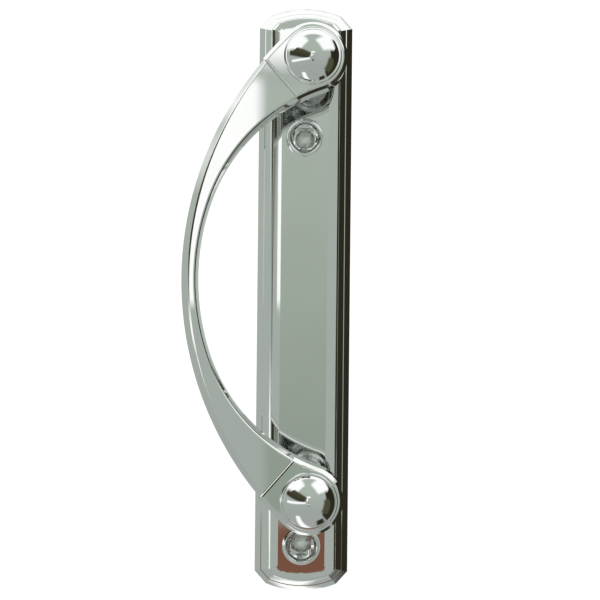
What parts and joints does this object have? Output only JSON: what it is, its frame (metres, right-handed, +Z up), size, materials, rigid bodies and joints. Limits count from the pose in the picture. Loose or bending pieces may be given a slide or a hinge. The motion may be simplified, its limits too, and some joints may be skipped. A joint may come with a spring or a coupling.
{
  "type": "pull handle",
  "caption": "Polished offset bow pull handle with two domed eyes, standing on pillars above a long moulded escutcheon plate with cut corners.",
  "frame": {"origin": "centre of the plate's back face, which lies flat on the door", "axes": "+Z up along the plate as mounted, +Y into the door, -Y towards the room, +X to the right seen from the room"},
  "size_m": [0.0715, 0.0859, 0.26],
  "materials": {
    "plate_chrome": "mirror polished chrome plate on cast zinc",
    "bow_chrome": "mirror polished chrome plate on cast zinc",
    "post_chrome": "turned and chrome plated",
    "cap_chrome": "mirror polished chrome dome and ring",
    "bolt_satin": "satin nickel plated steel",
    "screw_steel": "zinc plated steel",
    "seal_rubber": "black nitrile rubber"
  },
  "bodies": {
    "handle": {"escutcheon_plate": "plate_chrome", "bow_grip": "bow_chrome", "upper_post": "post_chrome", "upper_cap_ring": "cap_chrome", "upper_grip_screw": "screw_steel", "upper_lock_washer": "screw_steel", "upper_post_screw": "screw_steel", "upper_post_washer": "screw_steel", "upper_mounting_bolt": "bolt_satin", "lower_post": "post_chrome", "lower_cap_ring": "cap_chrome", "lower_grip_screw": "screw_steel", "lower_lock_washer": "screw_steel", "lower_post_screw": "screw_steel", "lower_post_washer": "screw_steel", "lower_mounting_bolt": "bolt_satin"},
    "upper_cap_body": {"upper_cap": "cap_chrome", "upper_cap_seal": "seal_rubber"},
    "lower_cap_body": {"lower_cap": "cap_chrome", "lower_cap_seal": "seal_rubber"}
  },
  "joints": [
    {"name": "upper_cap_pull", "type": "slide", "parent": "handle", "child": "upper_cap_body", "axis": [0, -1, 0], "range_m": [0, 0.02]},
    {"name": "lower_cap_pull", "type": "slide", "parent": "handle", "child": "lower_cap_body", "axis": [0, -1, 0], "range_m": [0, 0.02]}
  ]
}
